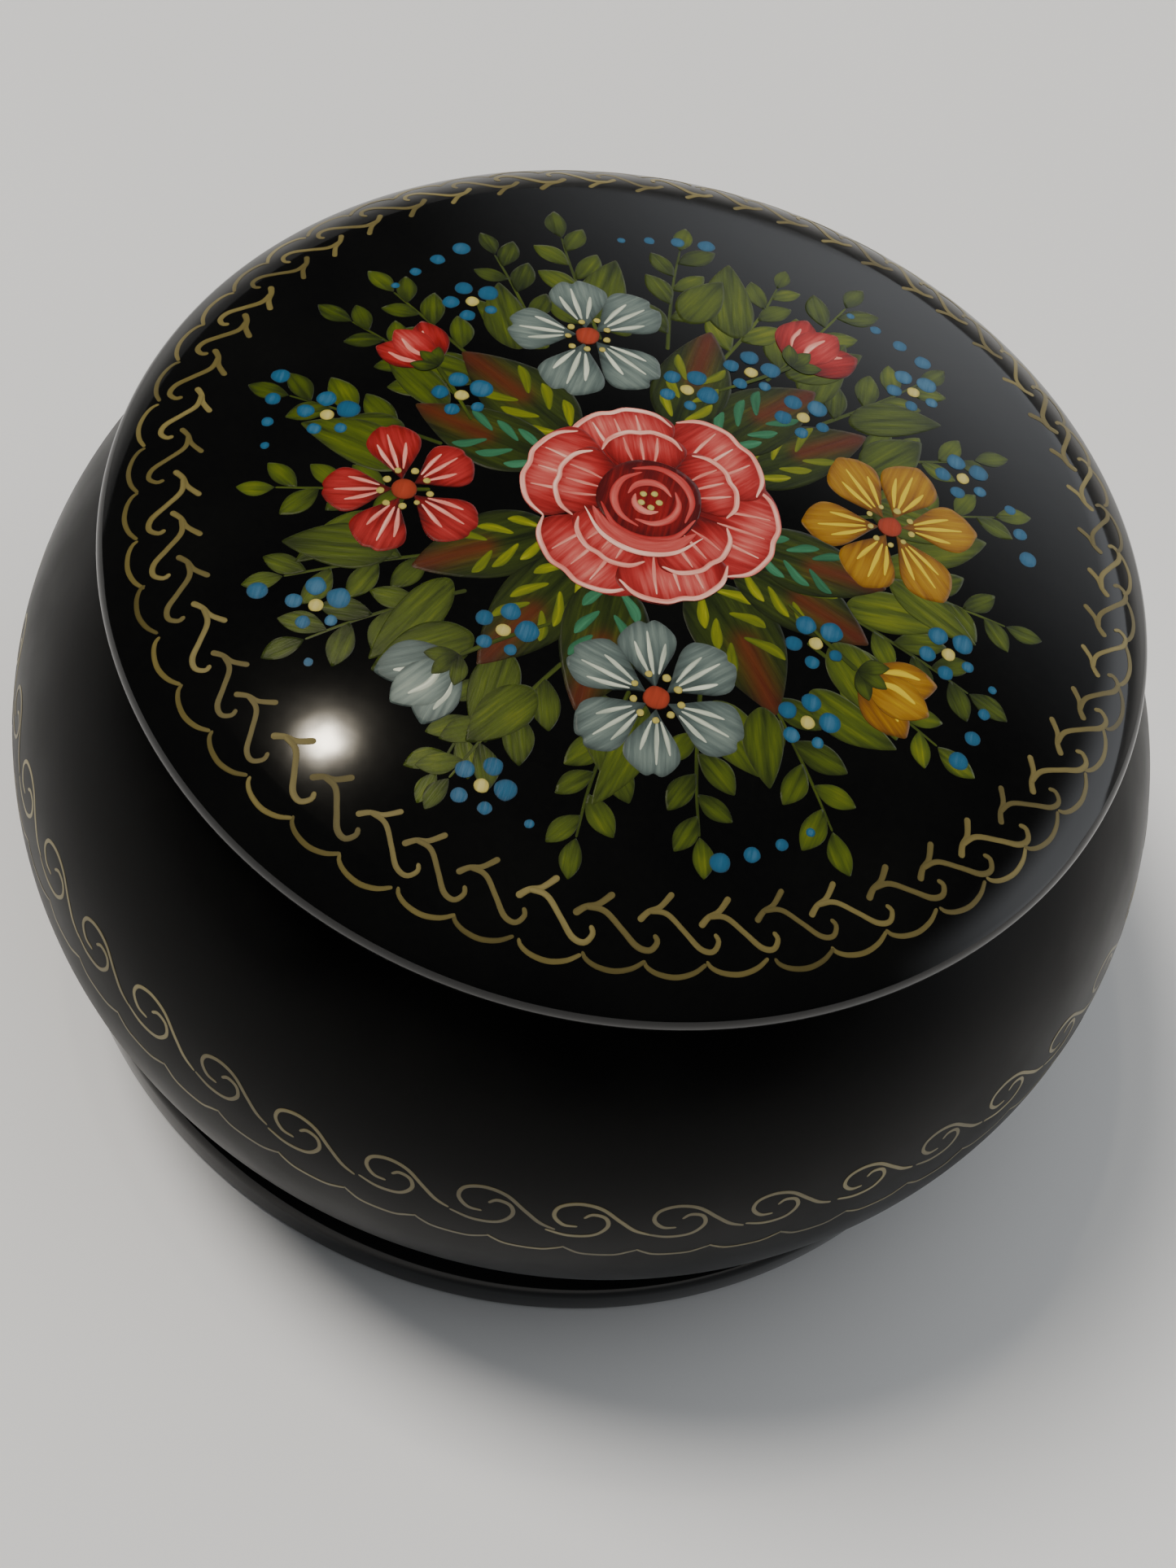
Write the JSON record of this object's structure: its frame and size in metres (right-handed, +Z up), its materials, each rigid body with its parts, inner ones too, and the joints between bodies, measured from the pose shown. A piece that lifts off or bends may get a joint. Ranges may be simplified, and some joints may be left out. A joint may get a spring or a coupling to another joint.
{
  "type": "lacquered lidded box",
  "caption": "Squat round turned box on a low foot ring, with a domed lift-off lid, black lacquer and painted flower and border decoration.",
  "frame": {"origin": "centre of the circle that the foot stands on", "axes": "+Z up along the common axis of the bowl and lid; X and Y lie in the plane of the foot"},
  "size_m": [0.1, 0.1, 0.0546],
  "materials": {
    "bowl_lacquer": "satin",
    "foot_lacquer": "gloss",
    "lid_lacquer": "gloss",
    "interior_lacquer": "satin"
  },
  "bodies": {
    "bowl": {"bowl_wall_lower": "bowl_lacquer", "bowl_wall_upper": "bowl_lacquer", "bowl_floor": "interior_lacquer", "foot_ring": "foot_lacquer", "mouth_collar": "interior_lacquer"},
    "lid": {"lid_rim": "lid_lacquer", "lid_plate": "lid_lacquer"}
  },
  "joints": [
    {"name": "lid_lift", "type": "slide", "parent": "bowl", "child": "lid", "axis": [0, 0, 1], "range_m": [0, 0.06]}
  ]
}
